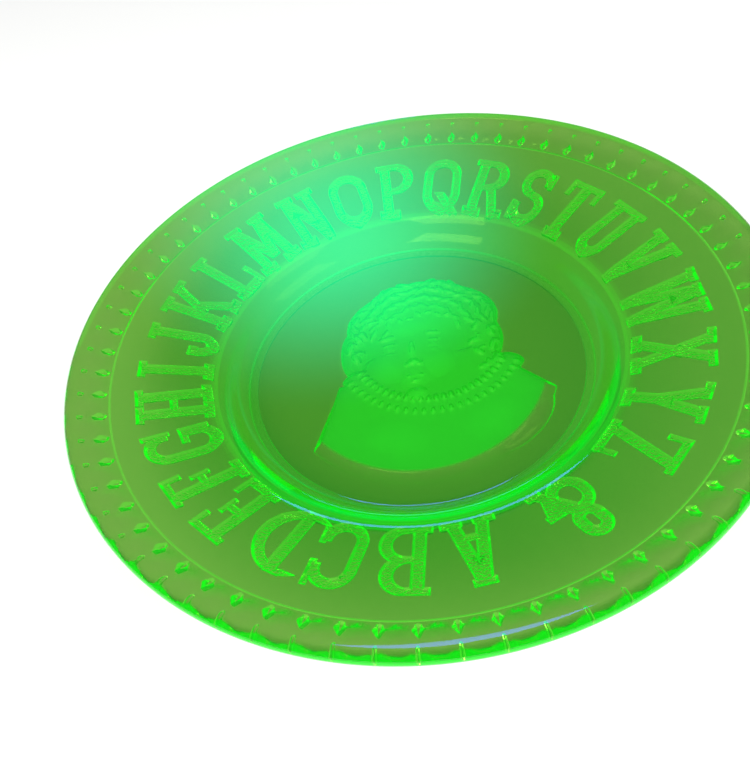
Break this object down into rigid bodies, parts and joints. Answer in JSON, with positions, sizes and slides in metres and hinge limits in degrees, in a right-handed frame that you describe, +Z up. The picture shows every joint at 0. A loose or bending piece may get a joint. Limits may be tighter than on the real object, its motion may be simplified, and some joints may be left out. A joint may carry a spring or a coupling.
{
  "type": "alphabet plate in uranium glass",
  "caption": "Round shallow plate in fluorescent pressed glass with a sunk child's portrait, raised alphabet letters and a thumbprint rim, to rest flat or to display.",
  "frame": {"origin": "centre of the plate, on the plane that its foot ring rests on", "axes": "+Z up through the well, +Y towards the top of the portrait's head, +X to the portrait's right-hand side as seen from above"},
  "size_m": [0.203, 0.203, 0.0288],
  "materials": {
    "polished_uranium_glass": "fire-polished, clear olive green that glows green at its edges",
    "satin_uranium_glass": "satin, frosted from below",
    "stippled_uranium_glass": "fine stipple on the letters' faces, bright bevelled edges"
  },
  "bodies": {
    "root": {"well_floor": "polished_uranium_glass", "child_portrait": "satin_uranium_glass", "foot_ring": "polished_uranium_glass", "cove_wall": "polished_uranium_glass", "letter_flange": "polished_uranium_glass", "thumbprint_rim": "polished_uranium_glass", "letter_a": "stippled_uranium_glass", "letter_b": "stippled_uranium_glass", "letter_c": "stippled_uranium_glass", "letter_d": "stippled_uranium_glass", "letter_e": "stippled_uranium_glass", "letter_f": "stippled_uranium_glass", "letter_g": "stippled_uranium_glass", "letter_h": "stippled_uranium_glass", "letter_i": "stippled_uranium_glass", "letter_j": "stippled_uranium_glass", "letter_k": "stippled_uranium_glass", "letter_l": "stippled_uranium_glass", "letter_m": "stippled_uranium_glass", "letter_n": "stippled_uranium_glass", "letter_o": "stippled_uranium_glass", "letter_p": "stippled_uranium_glass", "letter_q": "stippled_uranium_glass", "letter_r": "stippled_uranium_glass", "letter_s": "stippled_uranium_glass", "letter_t": "stippled_uranium_glass", "letter_u": "stippled_uranium_glass", "letter_v": "stippled_uranium_glass", "letter_w": "stippled_uranium_glass", "letter_x": "stippled_uranium_glass", "letter_y": "stippled_uranium_glass", "letter_z": "stippled_uranium_glass", "letter_ampersand": "stippled_uranium_glass"}
  },
  "joints": []
}
